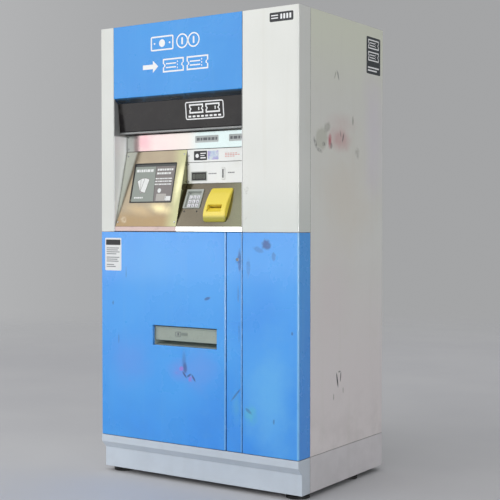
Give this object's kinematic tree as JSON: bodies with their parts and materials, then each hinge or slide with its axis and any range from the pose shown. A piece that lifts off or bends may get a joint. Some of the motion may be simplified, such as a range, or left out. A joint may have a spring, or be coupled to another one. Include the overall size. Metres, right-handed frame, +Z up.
{
  "type": "ticket vending machine",
  "caption": "Floor-standing ticket vending machine: sheet-steel cabinet with a hinged front door, customer niche with display, keypad, coin and banknote entries, and a ticket outlet.",
  "frame": {"origin": "on the floor, under the middle of the cabinet's outline", "axes": "+Z up, -Y towards the customer, +X to the customer's right"},
  "size_m": [0.956, 0.674, 1.83],
  "materials": {
    "white_paint": "semi-gloss powder coat, slightly grimy",
    "blue_paint": "gloss paint",
    "plinth_paint": "semi-gloss paint",
    "zinc_steel": "zinc-plated sheet",
    "polished_stainless": "polished stainless, brushed along X",
    "brass_stainless": "warm-tinted polished stainless",
    "dark_stainless": "dark warm-tinted stainless",
    "visor_plastic": "smoked acrylic",
    "info_white": "gloss white enamel",
    "yellow_plastic": "moulded, satin gloss",
    "key_plastic": "moulded keycap",
    "grey_plastic": "moulded, satin",
    "black_plastic": "moulded, matt",
    "display_face": "display face, glossy",
    "flap_plastic": "smoked translucent flap",
    "chrome_metal": "plated",
    "rubber_black": "moulded rubber",
    "roller_rubber": "ground rubber",
    "paper_white": "plain ticket paper",
    "cast_alloy": "satin alloy"
  },
  "bodies": {
    "cabinet": {"plinth_front": "plinth_paint", "plinth_surround": "plinth_paint", "levelling_feet": "rubber_black", "floor_pan": "zinc_steel", "left_side_panel": "white_paint", "right_side_panel": "white_paint", "top_panel": "white_paint", "rear_panel": "white_paint", "front_frame": "zinc_steel", "equipment_shelves": "zinc_steel", "cabinet_hinge_leaves": "zinc_steel", "hinge_pins": "chrome_metal", "printer_frame": "cast_alloy", "ticket_chute": "polished_stainless", "cash_box": "zinc_steel", "main_controller": "cast_alloy", "power_supply": "zinc_steel", "mains_inlet": "black_plastic", "fan_housing": "black_plastic"},
    "door": {"service_panel": "blue_paint", "trim_strip": "blue_paint", "left_column_cover": "white_paint", "upper_right_cover": "white_paint", "lower_right_cover": "blue_paint", "sign_panel": "blue_paint", "sign_lights": "cast_alloy", "visor_panel": "visor_plastic", "niche_liner": "white_paint", "header_panel": "polished_stainless", "banknote_info_panel": "info_white", "coin_panel": "info_white", "amount_display": "visor_plastic", "left_console": "brass_stainless", "display_module": "display_face", "right_console": "dark_stainless", "keypad_frame": "grey_plastic", "banknote_bezel": "yellow_plastic", "banknote_validator": "black_plastic", "coin_changer": "cast_alloy", "door_frame_bars": "zinc_steel", "door_hinge_leaves": "zinc_steel", "lock_housing": "chrome_metal", "outlet_tray": "black_plastic"},
    "lock_plug": {"lock_plug": "chrome_metal"},
    "latch": {"latch_bar": "zinc_steel"},
    "outlet_flap": {"outlet_flap": "flap_plastic"},
    "note_roller": {"note_feed_roller": "roller_rubber"},
    "platen": {"platen_roller": "roller_rubber"},
    "paper_roll": {"paper_roll": "paper_white"},
    "cutter": {"cutter_blade": "chrome_metal"},
    "fan_rotor": {"fan_rotor": "black_plastic"},
    "key_1": {"key_1": "key_plastic"},
    "key_2": {"key_2": "key_plastic"},
    "key_3": {"key_3": "key_plastic"},
    "key_4": {"key_4": "key_plastic"},
    "key_5": {"key_5": "key_plastic"},
    "key_6": {"key_6": "key_plastic"},
    "key_7": {"key_7": "key_plastic"},
    "key_8": {"key_8": "key_plastic"},
    "key_9": {"key_9": "key_plastic"}
  },
  "joints": [
    {"name": "door_swing", "type": "hinge", "parent": "cabinet", "child": "door", "pos_m": [-0.4725, -0.2575, 0.9], "axis": [0, 0, -1], "range_deg": [0, 105]},
    {"name": "flap_swing", "type": "hinge", "parent": "door", "child": "outlet_flap", "pos_m": [-0.0495, -0.319, 0.615], "axis": [1, 0, 0], "range_deg": [0, 75]},
    {"name": "lock_turn", "type": "hinge", "parent": "door", "child": "lock_plug", "pos_m": [0.205, -0.3, 0.893], "axis": [0, -1, 0], "range_deg": [0, 90]},
    {"name": "latch_slide", "type": "slide", "parent": "door", "child": "latch", "axis": [1, 0, 0], "range_m": [0, 0.014]},
    {"name": "note_roller_spin", "type": "hinge", "parent": "door", "child": "note_roller", "pos_m": [0.09, -0.24249, 1.07569], "axis": [1, 0, 0], "continuous": true},
    {"name": "paper_roll_spin", "type": "hinge", "parent": "cabinet", "child": "paper_roll", "pos_m": [-0.05, -0.01, 0.865], "axis": [1, 0, 0], "continuous": true},
    {"name": "platen_spin", "type": "hinge", "parent": "cabinet", "child": "platen", "pos_m": [-0.05, -0.14, 0.85], "axis": [1, 0, 0], "continuous": true},
    {"name": "cutter_stroke", "type": "slide", "parent": "cabinet", "child": "cutter", "axis": [0, 0, 1], "range_m": [0, 0.016], "stiffness_N_per_m": 150},
    {"name": "fan_spin", "type": "hinge", "parent": "cabinet", "child": "fan_rotor", "pos_m": [0.19, 0.3, 1.547], "axis": [0, 1, 0], "continuous": true},
    {"name": "key_1_press", "type": "slide", "parent": "door", "child": "key_1", "axis": [0, 0.9129, -0.4081], "range_m": [0, 0.002], "stiffness_N_per_m": 700},
    {"name": "key_2_press", "type": "slide", "parent": "door", "child": "key_2", "axis": [0, 0.9129, -0.4081], "range_m": [0, 0.002], "stiffness_N_per_m": 700},
    {"name": "key_3_press", "type": "slide", "parent": "door", "child": "key_3", "axis": [0, 0.9129, -0.4081], "range_m": [0, 0.002], "stiffness_N_per_m": 700},
    {"name": "key_4_press", "type": "slide", "parent": "door", "child": "key_4", "axis": [0, 0.9129, -0.4081], "range_m": [0, 0.002], "stiffness_N_per_m": 700},
    {"name": "key_5_press", "type": "slide", "parent": "door", "child": "key_5", "axis": [0, 0.9129, -0.4081], "range_m": [0, 0.002], "stiffness_N_per_m": 700},
    {"name": "key_6_press", "type": "slide", "parent": "door", "child": "key_6", "axis": [0, 0.9129, -0.4081], "range_m": [0, 0.002], "stiffness_N_per_m": 700},
    {"name": "key_7_press", "type": "slide", "parent": "door", "child": "key_7", "axis": [0, 0.9129, -0.4081], "range_m": [0, 0.002], "stiffness_N_per_m": 700},
    {"name": "key_8_press", "type": "slide", "parent": "door", "child": "key_8", "axis": [0, 0.9129, -0.4081], "range_m": [0, 0.002], "stiffness_N_per_m": 700},
    {"name": "key_9_press", "type": "slide", "parent": "door", "child": "key_9", "axis": [0, 0.9129, -0.4081], "range_m": [0, 0.002], "stiffness_N_per_m": 700}
  ],
  "couplings": [
    {"joint": "lock_turn", "follows": "latch_slide", "rad_per_m": 112.19},
    {"joint": "platen_spin", "follows": "paper_roll_spin", "ratio": -8}
  ]
}
